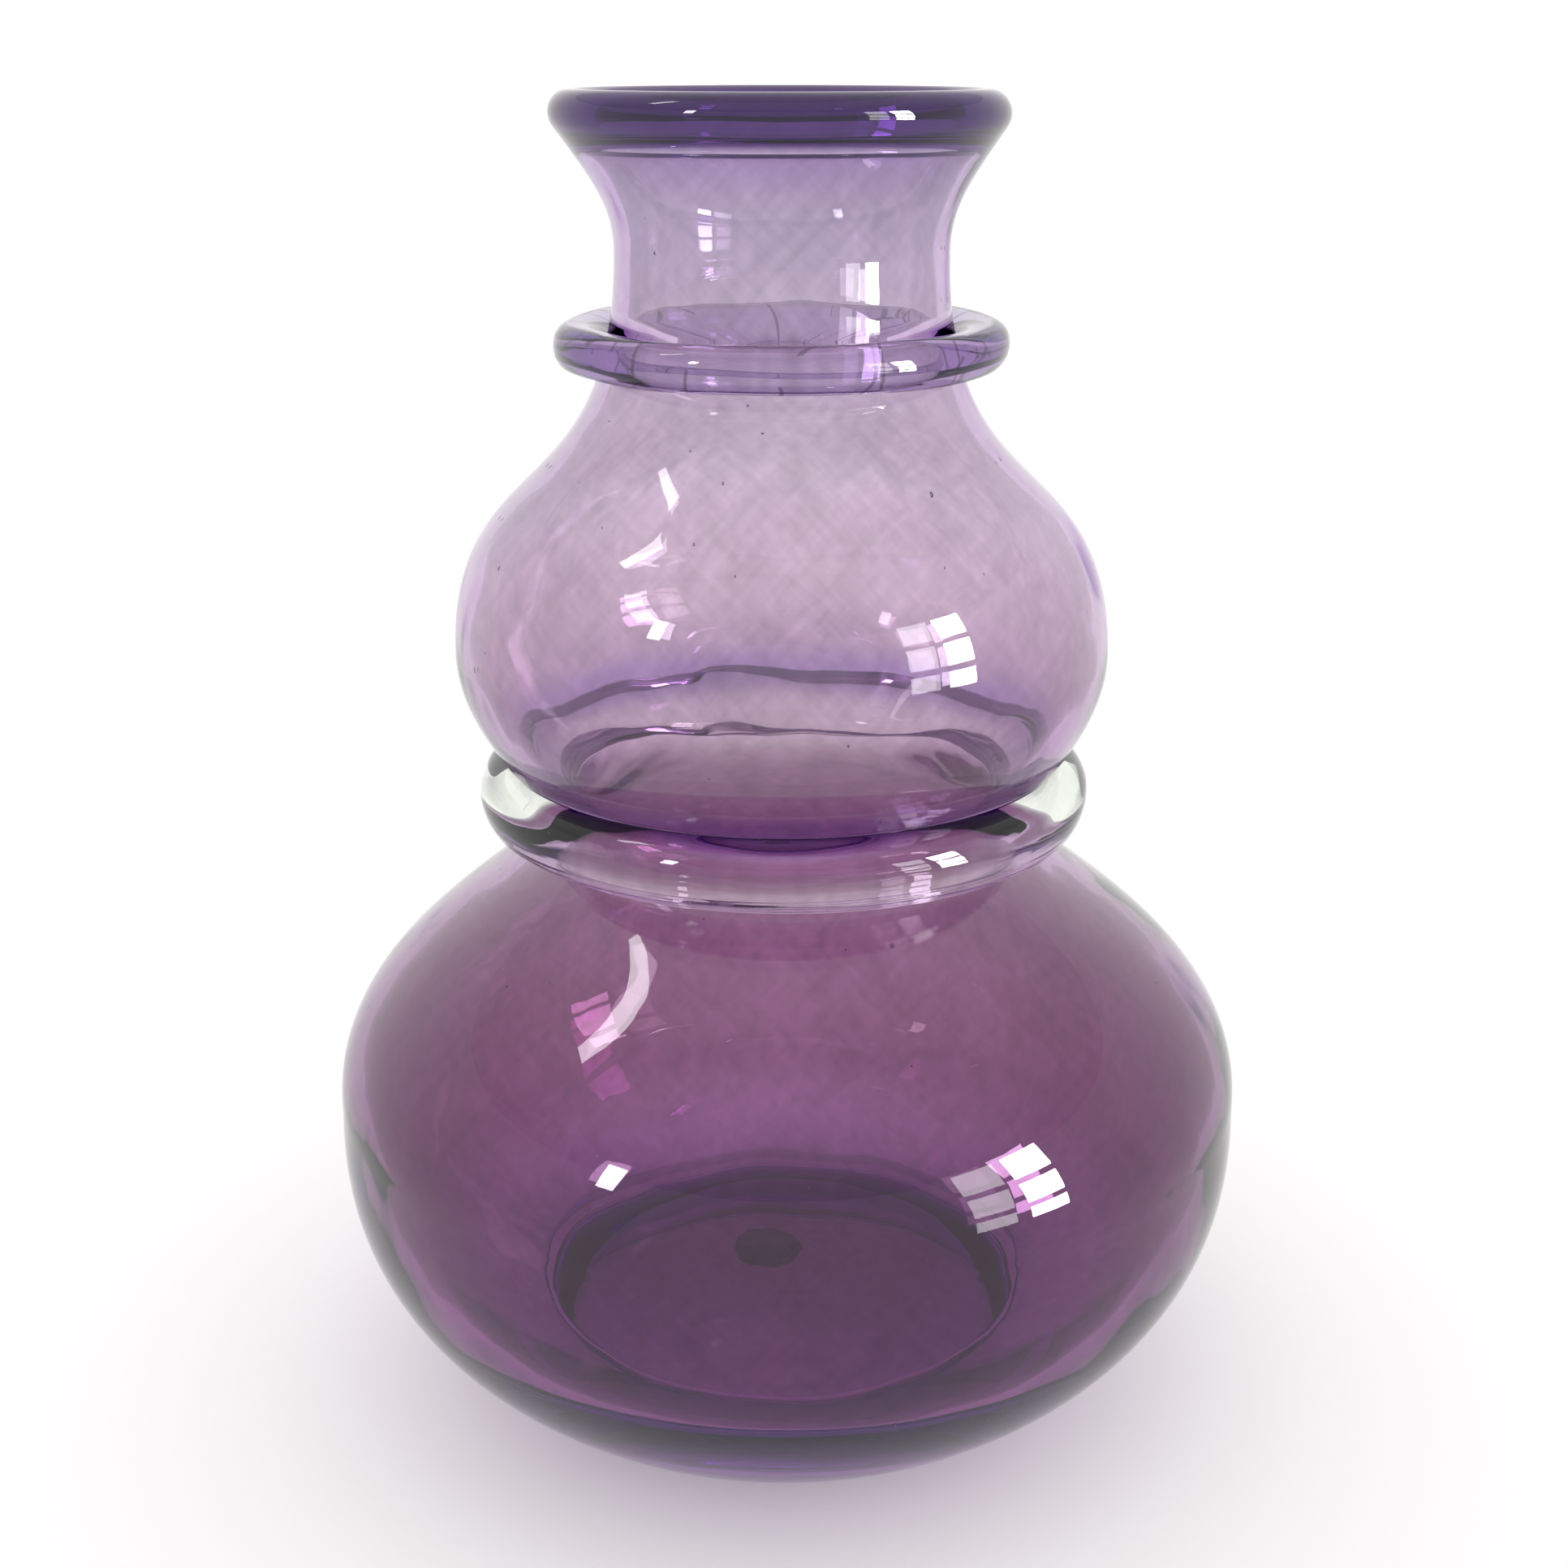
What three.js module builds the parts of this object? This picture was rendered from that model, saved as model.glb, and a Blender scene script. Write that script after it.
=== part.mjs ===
// Free-blown amethyst glass bottle in the shape of a double gourd: a flared neck with a rolled lip,
// a round upper bulb, a pinched waist and a squat lower bulb on a shallow pushed-up base. Two glass
// trails are wrapped round it, one at the foot of the neck and one in the waist, and the scar left
// by the pontil rod sits in the hollow under the base.
// Units are millimetres, +Z is up, the foot stands on z = 0 and +Y is the back.

import * as THREE from 'three';

// Driving dimensions of the outside.
const HEIGHT = 220;
const FOOT_R = 43;              // outer edge of the flat ring that the bottle stands on
const FOOT_WIDTH = 3.2;         // width of that ring
const FOOT_ROLL = 0.9;          // size of the rounding beside the ring
const LOWER_BULB_R = 77;
const LOWER_BULB_Z = 55.3;
const WAIST_R = 39.6;
const WAIST_Z = 105.5;
const UPPER_BULB_R = 53.8;
const UPPER_BULB_Z = 131;
const NECK_R = 26.6;
const NECK_Z = 195.4;
const LIP_BEAD_R = 3.6;         // radius of the rolled lip's own round section
const LIP_R = 32.4;             // radius of the circle that the lip's section follows
const LIP_Z = HEIGHT - LIP_BEAD_R;

// Headings along the outline, in radians up from the outward direction.
const UP = Math.PI / 2;
const FOOT_HEADING = 0.5;
const CREASE_HEADING = 0.82;    // where the upper bulb swells out of the waist
const LIP_ANGLE = -0.62;        // place on the lip's section where the flare runs into it

// Wall thickness by level: thin in the neck and upper bulb, thick towards the base.
const WALLS = [
  { z: 24, wall: 4.8 },
  { z: LOWER_BULB_Z, wall: 3.6 },
  { z: WAIST_Z, wall: 3.0 },
  { z: UPPER_BULB_Z, wall: 2.4 },
  { z: HEIGHT, wall: 2.4 },
];
const WALL_FOOT_Z = 26;         // outside level below which the inside turns into the floor
const WALL_TOP_Z = HEIGHT - 14; // outside level above which the wall swells into the lip

// Inside floor, and the push-up under it.
const FLOOR_DOME_Z = 21;
const GROOVE_R = 44;            // groove inside, round the floor's dome
const GROOVE_Z = 13.5;
const PUSH_UP_Z = 12;

// Trails: section half sizes, the circle that the section follows, its level and its lapped end.
const NECK_TRAIL = { r: 33.4, z: 180.8, halfWidth: 3.1, halfHeight: 3.7, lap: 0 };
const WAIST_TRAIL = { r: 44.8, z: 107.2, halfWidth: 6.3, halfHeight: 6.2, lap: 1.5 };
const LAP_ANGLE = 1.75;         // radians round from +X to the middle of the lapped end
const LAP_SPREAD = 0.22;        // radians, half the length of the lapped end
const LAP_PEAK = 0.6;           // share of that half length where the lap is highest

// Pontil scar.
const SCAR_R = 6.5;
const SCAR_HEIGHT = 2.6;
const SCAR_X = -3;              // a little off centre

const GAP = 0.3;                // between solids that lie against each other
const SEGMENTS = 48;            // round the axis
const BEAD_STEPS = 10;          // round the outer side of a trail's section
const SEAT_STEPS = 6;           // along its inner side

const COLOURS = {
  blown_body: 0x9c7ba8,
  neck_trail_ring: 0x8f7fc0,
  waist_trail_ring: 0xdfe3dc,
  pontil_scar: 0x4c3476,
};
const GLASS = { roughness: 0.05, metalness: 0 };

const point = (r, z) => new THREE.Vector2(r, z);
const heading = (angle) => point(Math.cos(angle), Math.sin(angle));

// Points along a curve from one station to the next. A station has a place, the heading and reach
// with which the curve arrives at it, and those with which it leaves.
function stretch(from, to, steps) {
  const a = point(from.r, from.z);
  const b = point(to.r, to.z);
  const aHandle = a.clone().addScaledVector(heading(from.leave.at), from.leave.reach);
  const bHandle = b.clone().addScaledVector(heading(to.arrive.at), -to.arrive.reach);
  return new THREE.CubicBezierCurve(a, aHandle, bHandle, b).getPoints(steps);
}

// Outside of the bottle from the foot ring up to the underside of the lip.
function outsidePoints() {
  const lip = heading(LIP_ANGLE).multiplyScalar(LIP_BEAD_R);
  const stations = [
    {
      r: FOOT_R + FOOT_ROLL,
      z: FOOT_ROLL,
      leave: { at: FOOT_HEADING, reach: 42 },
      steps: 8,
    },
    {
      r: LOWER_BULB_R,
      z: LOWER_BULB_Z,
      arrive: { at: UP, reach: 9.5 },
      leave: { at: UP, reach: 24.6 },
      steps: 9,
    },
    {
      r: WAIST_R,
      z: WAIST_Z,
      arrive: { at: UP, reach: 13.7 },
      leave: { at: CREASE_HEADING, reach: 4.4 },
      steps: 7,
    },
    {
      r: UPPER_BULB_R,
      z: UPPER_BULB_Z,
      arrive: { at: UP, reach: 11.3 },
      leave: { at: UP, reach: 33.4 },
      steps: 10,
    },
    {
      r: NECK_R,
      z: NECK_Z,
      arrive: { at: UP, reach: 41.9 },
      leave: { at: UP, reach: 6.7 },
      steps: 5,
    },
    {
      r: LIP_R + lip.x,
      z: LIP_Z + lip.y,
      arrive: { at: LIP_ANGLE + UP, reach: 10 },
    },
  ];
  const points = [point(stations[0].r, stations[0].z)];
  for (let i = 1; i < stations.length; i += 1) {
    points.push(...stretch(stations[i - 1], stations[i], stations[i - 1].steps).slice(1));
  }
  return points;
}

// Wall thickness at height z, blended between the named levels.
function wallAt(z) {
  const above = WALLS.findIndex((level) => level.z >= z);
  if (above <= 0) return WALLS[0].wall;
  const low = WALLS[above - 1];
  const high = WALLS[above];
  return THREE.MathUtils.lerp(low.wall, high.wall, (z - low.z) / (high.z - low.z));
}

// The inside surface of the wall: the outside moved in along its own normal.
function innerWallPoints(outside) {
  const inner = outside.map((p, i) => {
    const before = outside[Math.max(i - 1, 0)];
    const after = outside[Math.min(i + 1, outside.length - 1)];
    const along = after.clone().sub(before).normalize();
    const wall = wallAt(p.y);
    return point(p.x - along.y * wall, p.y + along.x * wall);
  });
  return inner.filter((_, i) => outside[i].y > WALL_FOOT_Z && outside[i].y < WALL_TOP_Z);
}

// Round section of the lip, from the flare over the top to the inside.
function lipPoints() {
  const end = Math.PI - 0.1;
  const steps = 8;
  return Array.from({ length: steps + 1 }, (_, i) => {
    const spoke = heading(THREE.MathUtils.lerp(LIP_ANGLE, end, i / steps));
    return point(LIP_R, LIP_Z).addScaledVector(spoke, LIP_BEAD_R);
  });
}

// Hollow under the base, from the axis out to the ring that the bottle stands on.
function pushUpPoints() {
  const centre = { r: 0, z: PUSH_UP_Z, leave: { at: 0, reach: 20 } };
  const ring = { r: FOOT_R - FOOT_WIDTH, z: 0, arrive: { at: -1.05, reach: 8 } };
  return stretch(centre, ring, 6);
}

// Inside floor, from the foot of the wall through the groove to the top of the dome.
function floorPoints(wallFoot) {
  const wall = { r: wallFoot.x, z: wallFoot.y, leave: { at: -2.21, reach: 10 } };
  const groove = {
    r: GROOVE_R,
    z: GROOVE_Z,
    arrive: { at: Math.PI, reach: 5 },
    leave: { at: Math.PI, reach: 6 },
  };
  const dome = { r: 0, z: FLOOR_DOME_Z, arrive: { at: Math.PI, reach: 22 } };
  return [...stretch(wall, groove, 5), ...stretch(groove, dome, 6).slice(1)];
}

// Whole section of the blown glass, from the axis under the base round to the axis inside.
function bodyOutline(outside) {
  const innerWall = innerWallPoints(outside);
  return [
    ...pushUpPoints(),
    point(FOOT_R, 0),
    ...outside,
    ...lipPoints().slice(1),
    ...innerWall.toReversed(),
    ...floorPoints(innerWall[0]).slice(1),
  ];
}

// Radius of the outside surface at height z.
function radiusAt(outside, z) {
  const above = outside.findIndex((p, i) => i > 0 && p.y >= z);
  const low = outside[above - 1];
  const high = outside[above];
  return THREE.MathUtils.lerp(low.x, high.x, (z - low.y) / (high.y - low.y));
}

// Section of a trail: a rounded bead whose inner side lies along the glass that it is wrapped on.
function trailSection(trail, outside) {
  const beadPoint = (angle) => point(
    trail.r + trail.halfWidth * Math.cos(angle),
    trail.z + trail.halfHeight * Math.sin(angle),
  );
  const clear = (angle) => beadPoint(angle).x > radiusAt(outside, beadPoint(angle).y) + GAP;
  let low = -UP;
  let high = UP;
  while (!clear(low)) low += 0.01;
  while (!clear(high)) high -= 0.01;
  const bead = Array.from({ length: BEAD_STEPS + 1 }, (_, i) => (
    beadPoint(THREE.MathUtils.lerp(low, high, i / BEAD_STEPS))
  ));
  const seat = Array.from({ length: SEAT_STEPS + 1 }, (_, i) => {
    const z = THREE.MathUtils.lerp(bead.at(-1).y, bead[0].y, i / SEAT_STEPS);
    return point(radiusAt(outside, z) + GAP, z);
  });
  return [...bead, ...seat];
}

// Share of a trail's lap that shows at an angle round the axis: a slow rise and a blunt end.
function lapShare(angle) {
  const along = (angle - LAP_ANGLE) / LAP_SPREAD;
  if (Math.abs(along) > 1) return 0;
  return along < LAP_PEAK ? (along + 1) / (LAP_PEAK + 1) : (1 - along) / (1 - LAP_PEAK);
}

// Sweeps a trail's section round the axis and thickens its outer side along the lapped end.
function trailGeometry(trail, outside) {
  const section = trailSection(trail, outside);
  const count = section.length;
  const positions = [];
  const index = [];
  for (let step = 0; step < SEGMENTS; step += 1) {
    const angle = (step / SEGMENTS) * 2 * Math.PI;
    const lap = trail.lap * lapShare(angle);
    for (const p of section) {
      const outwards = Math.max(0, (p.x - trail.r) / trail.halfWidth);
      const r = p.x + lap * outwards;
      positions.push(r * Math.cos(angle), r * Math.sin(angle), p.y);
    }
    const here = step * count;
    const next = ((step + 1) % SEGMENTS) * count;
    for (let k = 0; k < count; k += 1) {
      const k2 = (k + 1) % count;
      index.push(here + k, next + k, next + k2, here + k, next + k2, here + k2);
    }
  }
  const geometry = new THREE.BufferGeometry();
  geometry.setAttribute('position', new THREE.Float32BufferAttribute(positions, 3));
  geometry.setIndex(index);
  geometry.computeVertexNormals();
  return geometry;
}

// Rough wad of glass that stays where the pontil rod was snapped off, under the push-up.
function scarOutline() {
  const share = (r, h) => point(SCAR_R * r, SCAR_HEIGHT * h);
  return [share(0, 0), share(0.45, 0.08), share(0.9, 0.3), share(1, 0.65), share(0.9, 0.85), share(0, 1)];
}

// An outline spun round the Z axis.
function spun(outline) {
  return new THREE.LatheGeometry(outline, SEGMENTS).rotateX(Math.PI / 2);
}

function piece(name, geometry) {
  const mesh = new THREE.Mesh(geometry, new THREE.MeshStandardMaterial({ color: COLOURS[name], ...GLASS }));
  mesh.name = name;
  return mesh;
}

const outside = outsidePoints();
const scar = piece('pontil_scar', spun(scarOutline()));
scar.position.set(SCAR_X, 0, PUSH_UP_Z - SCAR_HEIGHT - 2 * GAP);

const bottle = new THREE.Group();
bottle.add(
  piece('blown_body', spun(bodyOutline(outside))),
  piece('neck_trail_ring', trailGeometry(NECK_TRAIL, outside)),
  piece('waist_trail_ring', trailGeometry(WAIST_TRAIL, outside)),
  scar,
);

export default bottle;
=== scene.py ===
"""Looks of the free-blown amethyst bottle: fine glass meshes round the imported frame, and a pale studio."""
import math
import random

import bpy
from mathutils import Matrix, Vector, noise


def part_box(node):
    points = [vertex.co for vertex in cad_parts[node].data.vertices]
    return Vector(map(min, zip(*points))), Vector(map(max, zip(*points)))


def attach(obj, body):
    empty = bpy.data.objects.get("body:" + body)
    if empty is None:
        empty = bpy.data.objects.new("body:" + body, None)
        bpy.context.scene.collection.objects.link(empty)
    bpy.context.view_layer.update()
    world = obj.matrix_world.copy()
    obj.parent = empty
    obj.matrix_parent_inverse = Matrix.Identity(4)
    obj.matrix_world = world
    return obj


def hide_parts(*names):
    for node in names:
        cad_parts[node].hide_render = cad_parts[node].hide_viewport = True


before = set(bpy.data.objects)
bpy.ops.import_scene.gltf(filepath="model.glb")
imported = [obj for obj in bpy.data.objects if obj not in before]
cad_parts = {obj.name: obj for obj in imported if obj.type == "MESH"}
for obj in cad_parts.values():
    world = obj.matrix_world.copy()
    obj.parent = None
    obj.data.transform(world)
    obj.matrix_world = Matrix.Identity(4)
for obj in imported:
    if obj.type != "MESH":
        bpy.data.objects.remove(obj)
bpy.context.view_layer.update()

MM = 0.001
BODY_LOW, BODY_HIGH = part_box("blown_body")
NECK_LOW, NECK_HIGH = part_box("neck_trail_ring")
WAIST_LOW, WAIST_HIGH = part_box("waist_trail_ring")
SCAR_LOW, SCAR_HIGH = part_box("pontil_scar")

# Driving sizes, in millimetres. Heights and radii come from the frame where it has them.
HEIGHT = BODY_HIGH.z / MM
BULB_R = BODY_HIGH.x / MM
NECK_HALF_WIDTH = 3.1
NECK_REACH_IN = 6.5             # the neck thread's inner side goes on into the wall
WAIST_HALF_WIDTH = 6.3
NECK_TRAIL = {
    "r": NECK_HIGH.x / MM - NECK_HALF_WIDTH,
    "z": (NECK_LOW.z + NECK_HIGH.z) / 2 / MM,
    "half_width": NECK_HALF_WIDTH,
    "half_height": (NECK_HIGH.z - NECK_LOW.z) / 2 / MM,
}
WAIST_TRAIL = {
    "r": WAIST_HIGH.x / MM - WAIST_HALF_WIDTH,
    "z": 107.2,
    "half_width": WAIST_HALF_WIDTH,
    "half_height": 6.2,
}

UP = math.pi / 2
LIP_BEAD_R = 3.6
LIP_R = 32.4
LIP_ANGLE = -0.62
LIP_Z = HEIGHT - LIP_BEAD_R


def heading(angle):
    return Vector((math.cos(angle), math.sin(angle)))


def stretch(start, leave, end, arrive, steps):
    """Points of a curve between two places. leave and arrive are (heading, reach) at its two ends."""
    a, b = Vector(start), Vector(end)
    a_handle = a + heading(leave[0]) * leave[1]
    b_handle = b - heading(arrive[0]) * arrive[1]
    points = []
    for i in range(steps + 1):
        t = i / steps
        s = 1 - t
        points.append(a * s**3 + a_handle * (3 * s * s * t) + b_handle * (3 * s * t * t) + b * t**3)
    return points


def outside_outline():
    lip = Vector((LIP_R, LIP_Z)) + heading(LIP_ANGLE) * LIP_BEAD_R
    foot, bulb, waist = (43.9, 0.9), (BULB_R, 55.3), (39.6, 105.5)
    upper, neck = (53.8, 131), (26.6, 195.4)
    points = stretch(foot, (0.5, 42), bulb, (UP, 9.5), 46)
    points += stretch(bulb, (UP, 24.6), waist, (UP, 13.7), 46)[1:]
    points += stretch(waist, (0.82, 4.4), upper, (UP, 11.3), 26)[1:]
    points += stretch(upper, (UP, 33.4), neck, (UP, 41.9), 50)[1:]
    points += stretch(neck, (UP, 6.7), lip, (LIP_ANGLE + UP, 10), 20)[1:]
    return points


WALLS = ((24, 4.8), (55.3, 3.6), (105.5, 3.0), (131, 2.4), (HEIGHT, 2.4))


def wall_at(z):
    for (z0, w0), (z1, w1) in zip(WALLS, WALLS[1:]):
        if z <= z1:
            t = max(0.0, (z - z0) / (z1 - z0))
            return w0 + (w1 - w0) * t
    return WALLS[-1][1]


WALL_LOW = 26
WALL_HIGH = HEIGHT - 9.5


def inner_wall(outside):
    """Inside of the wall between the thick base and the lip, from the base up."""
    points = []
    for i, p in enumerate(outside):
        if not WALL_LOW < p.y < WALL_HIGH:
            continue
        along = (outside[i + 1] - outside[i - 1]).normalized()
        points.append(p + Vector((-along.y, along.x)) * wall_at(p.y))
    return points


LIP_STEPS = 24
GROOVE = (44, 13.5)             # where the inside floor meets the wall
GROOVE_TOP = 14                 # the inside is uneven above this height


def body_outline():
    """(points, start of the inside) for the blown glass, from the axis below round to the axis inside."""
    outside = outside_outline()
    wall = inner_wall(outside)
    points = stretch((0, 12), (0, 20), (39.8, 0), (-1.05, 8), 24)
    points += [Vector((40.6, 0)), Vector((42.3, 0)), Vector((43.2, 0.25))]
    points += outside
    lip_end = math.pi + 0.1
    for i in range(1, LIP_STEPS + 1):
        spoke = heading(LIP_ANGLE + (lip_end - LIP_ANGLE) * i / LIP_STEPS)
        points.append(Vector((LIP_R, LIP_Z)) + spoke * LIP_BEAD_R)
    inside_start = len(points)
    top = wall[-1]
    down = math.atan2(wall[-2].y - top.y, wall[-2].x - top.x)
    points += stretch(points[-1], (lip_end + UP, 2.4), top, (down, 3.0), 10)[1:-1]
    points += wall[::-1]
    points += stretch(wall[0], (-2.21, 9), GROOVE, (math.pi + 0.3, 3.5), 16)[1:]
    points += stretch(GROOVE, (math.pi - 0.5, 6), (0, 21), (math.pi, 24), 26)[1:]
    return points, inside_start


SEGMENTS = 160                  # faces round the bottle
TRAILS_LOW = 60                 # no trail touches the wall below this height


def drift(z):
    """Sideways lean of the axis at height z: free-blown glass is never quite straight."""
    return 0.55 * math.sin(z / 34) - 0.9 * max(0.0, (z - 190) / 30) ** 2


def place(r, angle, z):
    return Vector((r * math.cos(angle) + drift(z), r * math.sin(angle), z)) * MM


def new_object(name, verts, faces):
    mesh = bpy.data.meshes.new(name)
    mesh.from_pydata(verts, [], faces)
    mesh.validate()
    mesh.polygons.foreach_set("use_smooth", [True] * len(mesh.polygons))
    mesh.update()
    obj = bpy.data.objects.new(name, mesh)
    bpy.context.scene.collection.objects.link(obj)
    return obj


def set_fused(obj, values):
    """Mark each vertex 1 where two pieces of glass are one, so no boundary shows there, and 0 elsewhere."""
    layer = obj.data.attributes.new("fused", "FLOAT", "POINT")
    layer.data.foreach_set("value", values)


def trail_share(trail, r, z):
    """Below 1 inside a trail's section."""
    r_in = max(0.0, r - trail["r"]) if trail is NECK_TRAIL else r - trail["r"]
    return math.hypot(r_in / trail["half_width"], (z - trail["z"]) / trail["half_height"])


SEED_COUNT = 46
SEED_R = (0.12, 0.34)
SEED_AROUND = 10
SEED_ACROSS = 5


def add_seeds(verts, faces, outside):
    """Tiny air bubbles caught in the wall. Their faces point into the bubble, out of the glass."""
    rng = random.Random(7)
    bands = [p for p in outside if 30 < p.y < HEIGHT - 20 and not 96 < p.y < 118]
    around, across = SEED_AROUND, SEED_ACROSS
    for _ in range(SEED_COUNT):
        p = rng.choice(bands)
        angle = rng.uniform(0, 2 * math.pi)
        radius = rng.uniform(*SEED_R)
        tall = rng.uniform(1.0, 2.2)
        centre = place(p.x - wall_at(p.y) * rng.uniform(0.45, 0.65), angle, p.y)
        first = len(verts)
        verts.append(centre - Vector((0, 0, radius * tall * MM)))
        for i in range(1, across + 1):
            tilt = math.pi * i / (across + 1)
            for j in range(around):
                turn = 2 * math.pi * j / around
                flat = math.sin(tilt)
                spoke = Vector((flat * math.cos(turn), flat * math.sin(turn), -math.cos(tilt) * tall))
                verts.append(centre + spoke * radius * MM)
        last = len(verts)
        verts.append(centre + Vector((0, 0, radius * tall * MM)))
        for j in range(around):
            k = (j + 1) % around
            faces.append((first, first + 1 + j, first + 1 + k))
            top = first + 1 + (across - 1) * around
            faces.append((last, top + k, top + j))
            for i in range(across - 1):
                a = first + 1 + i * around
                b = a + around
                faces.append((a + j, b + j, b + k, a + k))


def make_body():
    points, inside_start = body_outline()
    verts = [place(0, 0, points[0].y)]
    fused = [0.0]
    for i, p in enumerate(points[1:-1], 1):
        inside = i >= inside_start
        covered = 0.0
        if not inside and p.y > TRAILS_LOW:
            covered = float(min(trail_share(t, p.x, p.y) for t in (NECK_TRAIL, WAIST_TRAIL)) < 1)
        for j in range(SEGMENTS):
            angle = 2 * math.pi * j / SEGMENTS
            r = p.x
            if inside and p.y > GROOVE_TOP:
                spot = Vector((r * math.cos(angle), r * math.sin(angle), p.y * 0.6))
                r += 0.22 * noise.noise(spot * 0.06) + 0.08 * noise.noise(spot * 0.17)
            verts.append(place(r, angle, p.y))
            fused.append(covered)
    rings = len(points) - 2
    verts.append(place(0, 0, points[-1].y))
    fused.append(0.0)
    faces = []
    last = len(verts) - 1
    for j in range(SEGMENTS):
        k = (j + 1) % SEGMENTS
        faces.append((0, 1 + k, 1 + j))
        top = 1 + (rings - 1) * SEGMENTS
        faces.append((last, top + j, top + k))
        for i in range(rings - 1):
            a = 1 + i * SEGMENTS
            b = a + SEGMENTS
            faces.append((a + j, a + k, b + k, b + j))
    add_seeds(verts, faces, outside_outline())
    fused += [0.0] * (len(verts) - len(fused))
    obj = new_object("blown_glass", verts, faces)
    set_fused(obj, fused)
    return obj


def wall_radius(outside, z):
    for low, high in zip(outside, outside[1:]):
        if low.y <= z <= high.y:
            return low.x + (high.x - low.x) * (z - low.y) / (high.y - low.y)
    return 0.0


LAP_ANGLE = 1.75                # the lapped end is at the back
LAP_SPREAD = 0.22
LAP_CREST = 0.6                 # the lap rises slowly up to here and falls fast after it
LAP_LIFT = 1.4
TRAIL_STEPS = 72


def lap_share(angle):
    """How far the thread's end is lifted at this angle: 1 at its crest, and 0 away from it."""
    along = (angle - LAP_ANGLE) / LAP_SPREAD
    if abs(along) > 1:
        return 0.0
    if along < LAP_CREST:
        return (along + 1) / (1 + LAP_CREST)
    return (1 - along) / (1 - LAP_CREST)


def make_trail(name, trail, lap, ribs):
    """Thread of glass round the body, with its end lapped over its start and faint ribs on its underside."""
    outside = [p for p in outside_outline() if p.y > TRAILS_LOW]
    section = []
    for i in range(TRAIL_STEPS):
        angle = 2 * math.pi * i / TRAIL_STEPS
        r = trail["r"] + trail["half_width"] * math.cos(angle)
        z = trail["z"] + trail["half_height"] * math.sin(angle)
        if trail is NECK_TRAIL and math.cos(angle) < 0:
            r = trail["r"] + NECK_REACH_IN * math.cos(angle)
        section.append((r, z))
    verts, faces, fused = [], [], []
    for j in range(SEGMENTS):
        angle = 2 * math.pi * j / SEGMENTS
        for r, z in section:
            out = max(0.0, (r - trail["r"]) / trail["half_width"])
            rr = r + lap * lap_share(angle) * out
            around_spot = Vector((math.cos(angle), math.sin(angle), z * 0.12)) * 1.6
            rr += 0.35 * out * noise.noise(around_spot)
            low = max(0.0, (trail["z"] - z) / trail["half_height"])
            rr -= ribs * out * low * (1 + math.cos(z * 4.4 + 0.6 * noise.noise(around_spot * 2)))
            zz = z + 0.4 * noise.noise(around_spot + Vector((5, 0, 0)))
            zz += LAP_LIFT * lap * lap_share(angle) * out
            verts.append(place(rr, angle, zz))
            fused.append(float(r < wall_radius(outside, z)))
    n = len(section)
    for j in range(SEGMENTS):
        a = j * n
        b = ((j + 1) % SEGMENTS) * n
        for i in range(n):
            k = (i + 1) % n
            faces.append((a + i, b + i, b + k, a + k))
    obj = new_object(name, verts, faces)
    set_fused(obj, fused)
    return obj


SCAR_SIDES = 48
SCAR_FILL = 0.92                # room for the uneven rim, as a share of the CAD piece's radius
SCAR_RINGS = ((0.15, -2.5), (0.5, -2.4), (0.9, -1.8), (1, -0.9), (0.9, 0.2), (0.4, 0.6))


def make_scar():
    """Uneven wad of glass. SCAR_RINGS are (share of the radius, height over the CAD piece's top)."""
    centre = (SCAR_LOW + SCAR_HIGH) / 2 / MM
    top = SCAR_HIGH.z / MM
    scar_r = (SCAR_HIGH.x - SCAR_LOW.x) / 2 / MM
    verts, faces = [], []
    rings = SCAR_RINGS
    n = SCAR_SIDES
    for share, dz in rings:
        for j in range(n):
            a = 2 * math.pi * j / n
            uneven = 1 + 0.16 * noise.noise(Vector((math.cos(a), math.sin(a), share)) * 2)
            r = SCAR_FILL * scar_r * share * uneven
            verts.append(Vector((centre.x + r * math.cos(a), centre.y + r * math.sin(a), top + dz)) * MM)
    for i in range(len(rings) - 1):
        for j in range(n):
            k = (j + 1) % n
            faces.append((i * n + j, i * n + k, (i + 1) * n + k, (i + 1) * n + j))
    faces.append(tuple(range(n))[::-1])
    faces.append(tuple(range((len(rings) - 1) * n, len(rings) * n)))
    return new_object("pontil_wad", verts, faces)


def math_node(nt, operation, first, second):
    """Output of one operation on two values. Each value is an output socket or a number."""
    node = nt.nodes.new("ShaderNodeMath")
    node.operation = operation
    for socket, value in zip(node.inputs, (first, second)):
        if isinstance(value, (int, float)):
            socket.default_value = value
        else:
            nt.links.new(value, socket)
    return node.outputs["Value"]


def stretched_noise(nt, scale, turn=(0, 0, 0), detail=1.0):
    """Noise in the glass, drawn out along its lowest-scale axis."""
    coords = nt.nodes.new("ShaderNodeTexCoord")
    mapping = nt.nodes.new("ShaderNodeMapping")
    mapping.vector_type = "TEXTURE"          # turns first, then stretches, so the streaks tilt
    mapping.inputs["Rotation"].default_value = turn
    mapping.inputs["Scale"].default_value = [1 / s for s in scale]
    texture = nt.nodes.new("ShaderNodeTexNoise")
    texture.inputs["Scale"].default_value = 1.0
    texture.inputs["Detail"].default_value = detail
    nt.links.new(coords.outputs["Object"], mapping.inputs["Vector"])
    nt.links.new(mapping.outputs["Vector"], texture.inputs["Vector"])
    return texture.outputs["Fac"]


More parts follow.
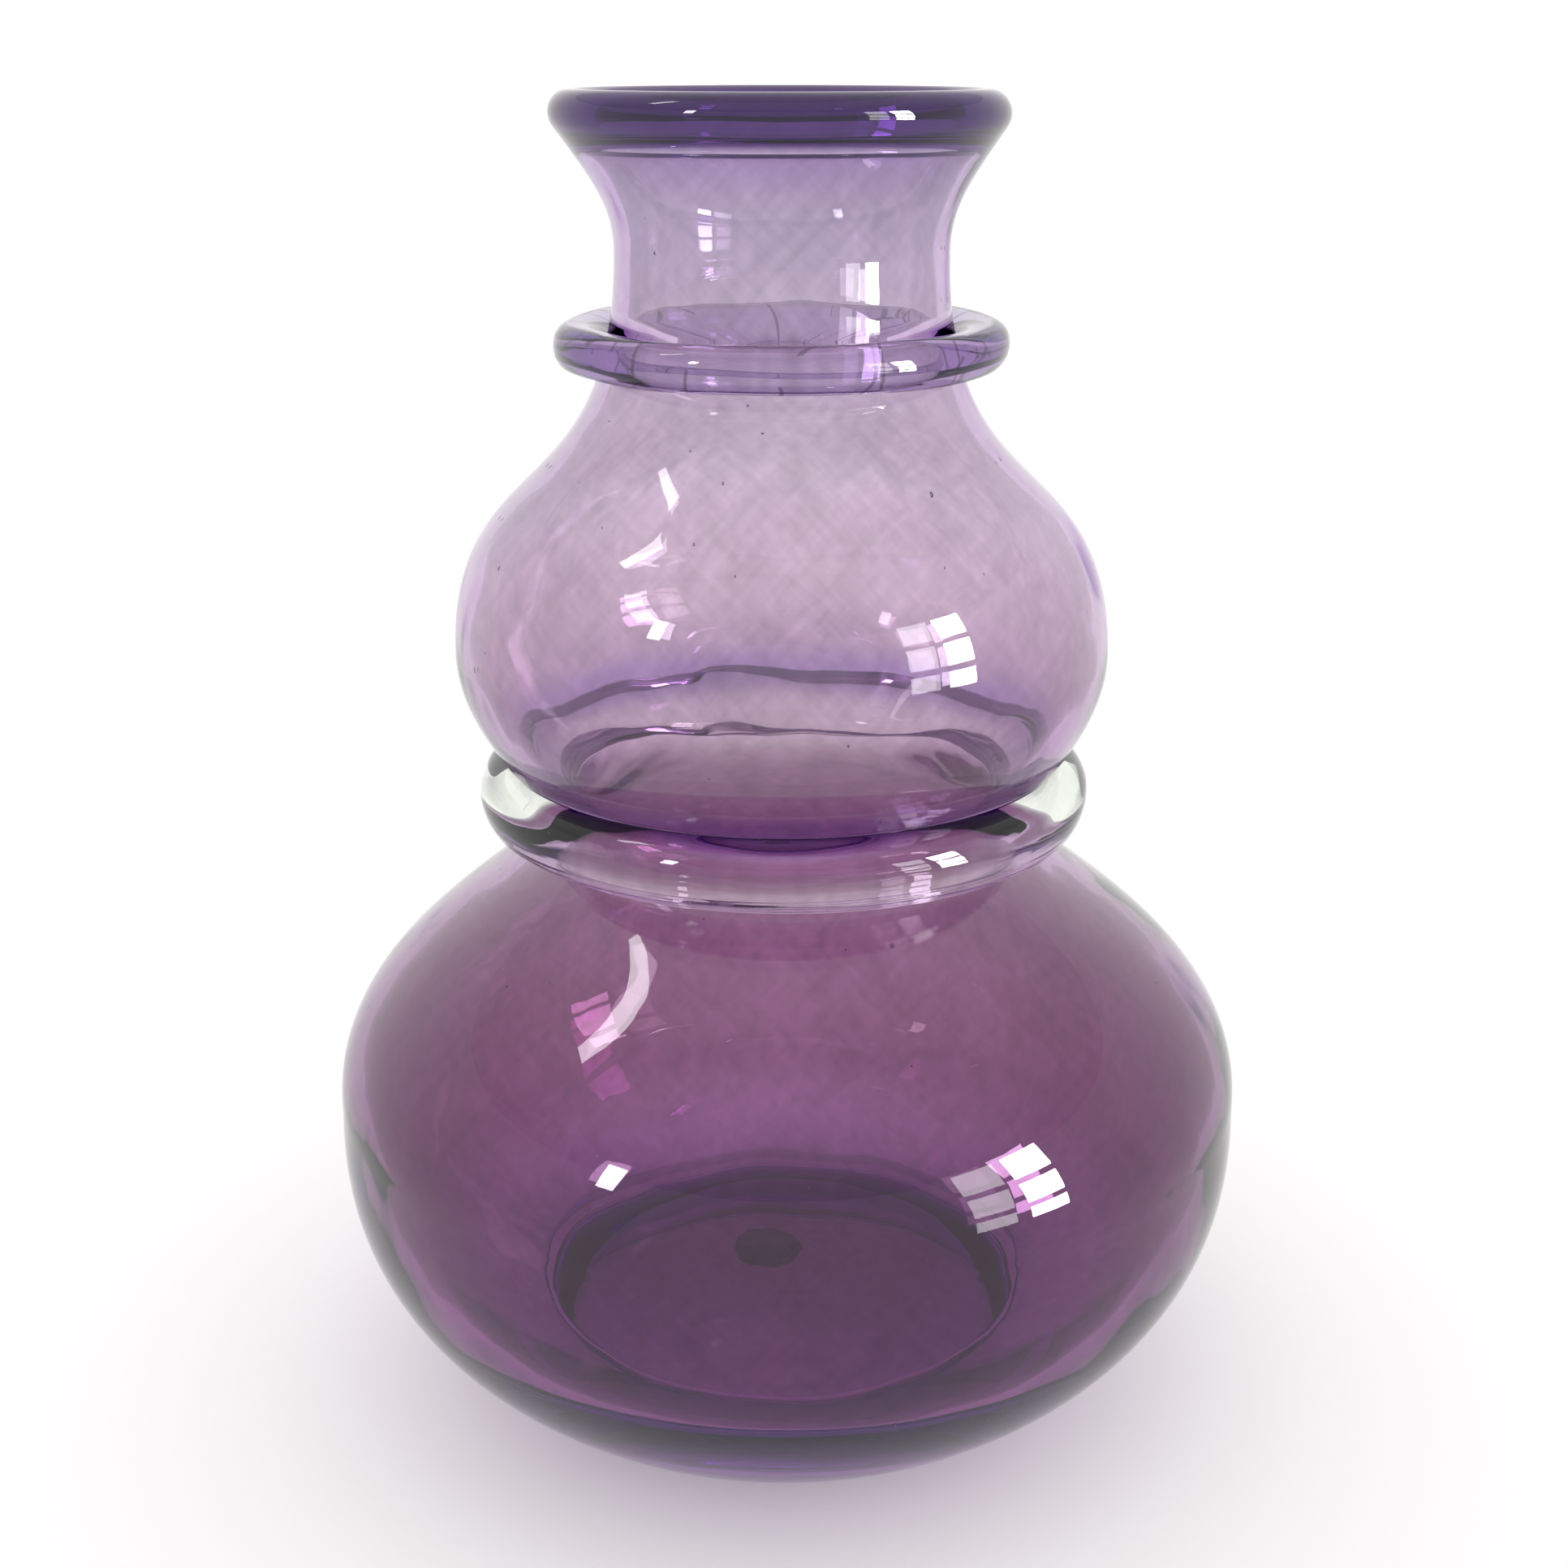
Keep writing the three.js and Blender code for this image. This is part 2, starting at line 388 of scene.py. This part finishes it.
def height_tint(nt, stops):
    """Colour that changes with height on the glass: its own colour and, on the body, painted shade and
    highlight. stops are (height in mm, colour).
    """
    coords = nt.nodes.new("ShaderNodeTexCoord")
    split = nt.nodes.new("ShaderNodeSeparateXYZ")
    ramp = nt.nodes.new("ShaderNodeValToRGB")
    nt.links.new(coords.outputs["Object"], split.inputs["Vector"])
    nt.links.new(math_node(nt, "DIVIDE", split.outputs["Z"], HEIGHT * MM), ramp.inputs["Fac"])
    elements = ramp.color_ramp.elements
    elements.remove(elements[1])
    for i, (z, colour) in enumerate(stops):
        element = elements[0] if i == 0 else elements.new(z / HEIGHT)
        element.position = z / HEIGHT
        element.color = (*colour, 1)
    return ramp.outputs["Color"]


def wisps(nt, strength):
    """Grey close to 1 that darkens in wisps: upright ones, two slanting sets, and broad clouds."""
    upright = stretched_noise(nt, (330, 330, 38))
    rising = stretched_noise(nt, (620, 300, 40), (0, 0.75, 0))
    falling = stretched_noise(nt, (620, 300, 40), (0, -0.75, 0))
    cloud = stretched_noise(nt, (38, 38, 24))
    slant = math_node(nt, "ADD", rising, falling)
    total = math_node(nt, "ADD", math_node(nt, "ADD", upright, cloud), slant)
    dark = math_node(nt, "MULTIPLY", math_node(nt, "SUBTRACT", total, 2.0), strength)
    return math_node(nt, "SUBTRACT", 1.0, dark)


def scratches(nt):
    """1 on hair-fine straight scratches, in a few worn patches, and 0 elsewhere."""
    hairs = math_node(nt, "GREATER_THAN", stretched_noise(nt, (1500, 1500, 70), (0.12, 0.2, 0.4)), 0.8)
    crossing = math_node(nt, "GREATER_THAN", stretched_noise(nt, (1500, 1500, 70), (0.3, -0.5, 0.9)), 0.82)
    patch = math_node(nt, "GREATER_THAN", stretched_noise(nt, (42, 42, 30)), 0.6)
    return math_node(nt, "MULTIPLY", math_node(nt, "MAXIMUM", hairs, crossing), patch)


def checks(nt):
    """1 on the short dark hairlines where the neck thread cooled against the wall, and 0 elsewhere."""
    coords = nt.nodes.new("ShaderNodeTexCoord")
    lines = nt.nodes.new("ShaderNodeTexVoronoi")
    lines.feature = "DISTANCE_TO_EDGE"
    lines.inputs["Scale"].default_value = 85
    nt.links.new(coords.outputs["Object"], lines.inputs["Vector"])
    thin = math_node(nt, "LESS_THAN", lines.outputs["Distance"], 0.022)
    patch = math_node(nt, "GREATER_THAN", stretched_noise(nt, (90, 90, 90)), 0.5)
    return math_node(nt, "MULTIPLY", thin, patch)


EDGE_POWER = 3.0


def painted_edge_shade(nt, strength):
    """Painted shade: falls below 1 where the glass is seen edge-on, darkening its edges on top of the longer
    path that the volume already absorbs.
    """
    layer = nt.nodes.new("ShaderNodeLayerWeight")
    layer.inputs["Blend"].default_value = 0.5
    steep = math_node(nt, "POWER", layer.outputs["Facing"], EDGE_POWER)
    return math_node(nt, "SUBTRACT", 1.0, math_node(nt, "MULTIPLY", steep, strength))


GLASS_IOR = 1.5
FUSED_IOR = 1.0                 # no boundary where two pieces are one
DENSITY = 200.0                 # of the absorption, high enough that its colour stays between 0 and 1
CHECK_DARK = 0.7
SCRATCH_ROUGH = 0.35


def glass(name, per_mm, stops, wisp=0.2, ripple=0.02, edge=0.45, cracked=False, welded=True):
    """Glass with absorption per mm, a colour by height, wisps, painted shade where it is seen edge-on, faint
    ripples and fine scratches.

    cracked adds the hairlines. welded is for pieces with the fused attribute.
    """
    mat = bpy.data.materials.new(name)
    mat.use_nodes = True
    nt = mat.node_tree
    nt.nodes.clear()
    out = nt.nodes.new("ShaderNodeOutputMaterial")
    bsdf = nt.nodes.new("ShaderNodeBsdfPrincipled")
    bsdf.inputs["IOR"].default_value = GLASS_IOR
    bsdf.inputs["Transmission Weight"].default_value = 1.0
    nt.links.new(bsdf.outputs["BSDF"], out.inputs["Surface"])
    tint_and_painted_light = nt.nodes.new("ShaderNodeVectorMath")
    tint_and_painted_light.operation = "SCALE"
    nt.links.new(height_tint(nt, stops), tint_and_painted_light.inputs[0])
    # Painted shade: the colour darkens where the glass is seen edge-on, multiplied with the wisps.
    marks_and_edge_shade = math_node(nt, "MULTIPLY", wisps(nt, wisp), painted_edge_shade(nt, edge))
    if cracked:
        clear = math_node(nt, "SUBTRACT", 1.0, math_node(nt, "MULTIPLY", checks(nt), CHECK_DARK))
        marks_and_edge_shade = math_node(nt, "MULTIPLY", marks_and_edge_shade, clear)
    nt.links.new(marks_and_edge_shade, tint_and_painted_light.inputs["Scale"])
    nt.links.new(tint_and_painted_light.outputs["Vector"], bsdf.inputs["Base Color"])
    nt.links.new(math_node(nt, "MULTIPLY", scratches(nt), SCRATCH_ROUGH), bsdf.inputs["Roughness"])
    bump = nt.nodes.new("ShaderNodeBump")
    bump.inputs["Strength"].default_value = ripple
    bump.inputs["Distance"].default_value = MM
    nt.links.new(stretched_noise(nt, (160, 160, 70)), bump.inputs["Height"])
    nt.links.new(bump.outputs["Normal"], bsdf.inputs["Normal"])
    volume = nt.nodes.new("ShaderNodeVolumeAbsorption")
    volume.inputs["Color"].default_value = [1 - c / MM / DENSITY for c in per_mm] + [1]
    volume.inputs["Density"].default_value = DENSITY
    nt.links.new(volume.outputs["Volume"], out.inputs["Volume"])
    if welded:
        fused = nt.nodes.new("ShaderNodeAttribute")
        fused.attribute_name = "fused"
        ior = nt.nodes.new("ShaderNodeMapRange")
        ior.inputs["To Min"].default_value = GLASS_IOR
        ior.inputs["To Max"].default_value = FUSED_IOR
        nt.links.new(fused.outputs["Fac"], ior.inputs["Value"])
        nt.links.new(ior.outputs["Result"], bsdf.inputs["IOR"])
    return mat


def paper(name, colour, glow):
    """Pale matt paper that glows a little, like a light table. The glow is the same for every ray."""
    mat = bpy.data.materials.new(name)
    mat.use_nodes = True
    bsdf = mat.node_tree.nodes["Principled BSDF"]
    bsdf.inputs["Base Color"].default_value = (*colour, 1)
    bsdf.inputs["Roughness"].default_value = 0.9
    bsdf.inputs["Specular IOR Level"].default_value = 0.0
    bsdf.inputs["Emission Color"].default_value = (*colour, 1)
    bsdf.inputs["Emission Strength"].default_value = glow
    return mat


# Studio sizes, in metres.
COVE_R = 1.9
COVE_BEND = 0.6
COVE_RISE = 1.15
COVE_FLAT_R = 0.3               # the inner ring of the flat floor
COVE_SIDES = 96
COVE_STEPS = 16
PAPER = (0.88, 0.875, 0.875)
PAPER_GLOW = 0.25
SKY_LOW = (0.52, 0.515, 0.54, 1)
SKY_HIGH = (1.02, 1.005, 1.0, 1)
SKY_HIGH_AT = 0.75
LIGHT_AIM = (0, 0, 0.11)
LIGHT_DISTANCE = 1.5
PANE = 0.27
PANE_STEP = 13                  # degrees between the window's panes


def make_stage():
    """Pale round floor that curves up into a low wall all round."""
    rings = [(COVE_FLAT_R, 0.0), (COVE_R - COVE_BEND, 0.0)]
    for i in range(1, COVE_STEPS + 1):
        a = UP * i / COVE_STEPS
        rings.append((COVE_R - COVE_BEND * (1 - math.sin(a)), COVE_BEND * (1 - math.cos(a))))
    rings.append((COVE_R, COVE_RISE))
    verts, faces = [], []
    for r, z in rings:
        for j in range(COVE_SIDES):
            a = 2 * math.pi * j / COVE_SIDES
            verts.append(Vector((r * math.cos(a), r * math.sin(a), z)))
    for i in range(len(rings) - 1):
        for j in range(COVE_SIDES):
            k = (j + 1) % COVE_SIDES
            here, above = i * COVE_SIDES, (i + 1) * COVE_SIDES
            faces.append((here + j, above + j, above + k, here + k))
    faces.append(tuple(range(COVE_SIDES)))
    cove = new_object("studio_cove", verts, faces)
    cove.data.materials.append(paper("studio_paper", PAPER, PAPER_GLOW))


def make_world():
    """Soft white sky, dimmer towards the horizon."""
    world = bpy.data.worlds.new("studio")
    bpy.context.scene.world = world
    world.use_nodes = True
    nt = world.node_tree
    bg = nt.nodes["Background"]
    bg.inputs["Strength"].default_value = 1.0
    coords = nt.nodes.new("ShaderNodeTexCoord")
    split = nt.nodes.new("ShaderNodeSeparateXYZ")
    ramp = nt.nodes.new("ShaderNodeValToRGB")
    nt.links.new(coords.outputs["Generated"], split.inputs["Vector"])
    nt.links.new(split.outputs["Z"], ramp.inputs["Fac"])
    nt.links.new(ramp.outputs["Color"], bg.inputs["Color"])
    stops = ramp.color_ramp.elements
    stops[0].position, stops[0].color = 0.0, SKY_LOW
    stops[1].position, stops[1].color = SKY_HIGH_AT, SKY_HIGH


def softbox(name, azimuth, elevation, width, height, power):
    """Area light that faces the bottle but lights no matt surface. Azimuth runs from -Y towards +X."""
    az, el = math.radians(azimuth), math.radians(elevation)
    aim = Vector(LIGHT_AIM)
    away = Vector((math.sin(az) * math.cos(el), -math.cos(az) * math.cos(el), math.sin(el)))
    spot = aim + LIGHT_DISTANCE * away
    data = bpy.data.lights.new(name, "AREA")
    data.shape = "RECTANGLE"
    data.size, data.size_y = width, height
    data.energy = power
    obj = bpy.data.objects.new(name, data)
    bpy.context.scene.collection.objects.link(obj)
    obj.location = spot
    obj.rotation_euler = (aim - spot).to_track_quat("-Z", "Y").to_euler()
    obj.visible_diffuse = False


def make_lights():
    """A window of two by three panes at the right, and two tall boxes at the left."""
    for row in range(3):
        elevation = -2 + PANE_STEP * row
        softbox(f"window_right_{row}", 62, elevation, PANE, PANE, 12)
        softbox(f"window_left_{row}", 48, elevation, PANE, PANE, 1.5)
    softbox("left_box", -45, 27, 0.12, 0.28, 2.2)
    softbox("left_high", -84, 55, 0.10, 0.30, 0.8)


CAMERA_AT = (0, -0.350, 0.2255)
CAMERA_DOWN = 0.2906            # radians below level
LENS = 49.97
SENSOR = 36
SHIFT_Y = -0.0526


def make_camera():
    """The photograph's view, from a perspective fit to the bottle's outline."""
    data = bpy.data.cameras.new("camera")
    data.lens = LENS
    data.sensor_width = SENSOR
    data.shift_y = SHIFT_Y
    cam = bpy.data.objects.new("camera", data)
    bpy.context.scene.collection.objects.link(cam)
    cam.location = CAMERA_AT
    cam.rotation_euler = (UP - CAMERA_DOWN, 0, 0)
    bpy.context.scene.camera = cam


make_camera()
make_world()
make_stage()
make_lights()

# Absorption per mm, as (red, green, blue).
AMETHYST = (0.036, 0.078, 0.019)
NECK_GLASS = (0.034, 0.044, 0.020)
CLEAR_GLASS = (0.004, 0.002, 0.004)
PONTIL_GLASS = (0.05, 0.07, 0.035)

# Surface tints, as (height in mm, colour).
# Partly the glass's own colour and partly painted light. The dark plum of the lower bulb (24 to 60 mm) is
# painted shade, standing in for the floor under the bottle seen through it. The paler band behind the waist
# thread (98 to 109 mm) is partly painted highlight. The dark band just above the waist thread (112 to 115 mm)
# is painted shade in the crease. The near-black top of the lip (213.5 mm) is painted shade on the rolled
# bead.
BODY_TINT_AND_PAINTED_LIGHT = (
    (0, (0.96, 0.82, 0.94)),
    (12, (0.97, 0.71, 0.92)),
    (24, (0.49, 0.24, 0.41)),
    (60, (0.34, 0.195, 0.29)),
    (85, (0.54, 0.455, 0.46)),
    (98, (0.73, 0.74, 0.66)),
    (103, (0.78, 0.74, 0.75)),
    (109, (0.74, 0.68, 0.73)),
    (112, (0.40, 0.30, 0.52)),
    (115, (0.44, 0.35, 0.56)),
    (119, (0.60, 0.51, 0.58)),
    (130, (0.68, 0.62, 0.63)),
    (150, (0.83, 0.825, 0.80)),
    (180, (0.74, 0.74, 0.73)),
    (203, (0.66, 0.65, 0.69)),
    (211, (0.57, 0.51, 0.64)),
    (213.5, (0.08, 0.04, 0.16)),
)
NECK_STOPS = (
    (176.5, (0.50, 0.42, 0.72)),
    (179, (0.97, 0.94, 0.96)),
    (184, (0.93, 0.90, 0.96)),
)
WAIST_STOPS = (
    (100, (0.90, 0.90, 0.87)),
    (108, (0.96, 0.96, 0.94)),
    (114, (0.93, 0.93, 0.91)),
)
PONTIL_STOPS = (
    (7, (0.40, 0.28, 0.48)),
    (12, (0.50, 0.38, 0.58)),
)

body = make_body()
body_glass = glass("amethyst_glass", AMETHYST, BODY_TINT_AND_PAINTED_LIGHT, wisp=0.3, edge=0.75)
body.data.materials.append(body_glass)
neck_trail = make_trail("neck_thread", NECK_TRAIL, 0.0, 0.05)
neck_glass = glass("neck_thread_glass", NECK_GLASS, NECK_STOPS, wisp=0.12, ripple=0.0, edge=0.9, cracked=True)
neck_trail.data.materials.append(neck_glass)
waist_trail = make_trail("waist_thread", WAIST_TRAIL, 1.5, 0.22)
waist_glass = glass("waist_thread_glass", CLEAR_GLASS, WAIST_STOPS, wisp=0.1, ripple=0.0, edge=0.1)
waist_trail.data.materials.append(waist_glass)
scar = make_scar()
scar_glass = glass("pontil_glass", PONTIL_GLASS, PONTIL_STOPS, ripple=0.3, welded=False)
scar.data.materials.append(scar_glass)

for piece, node, slot in (
    (body, "blown_body", "amethyst_glass"),
    (neck_trail, "neck_trail_ring", "neck_trail_glass"),
    (waist_trail, "waist_trail_ring", "waist_trail_glass"),
    (scar, "pontil_scar", "pontil_glass"),
):
    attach(piece, "root")
    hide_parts(node)

settings = bpy.context.scene
settings.view_settings.view_transform = "Standard"
settings.cycles.max_bounces = 32
settings.cycles.glossy_bounces = 32
settings.cycles.min_light_bounces = 8
settings.cycles.transmission_bounces = 32
settings.cycles.transparent_max_bounces = 16
settings.cycles.use_denoising = True
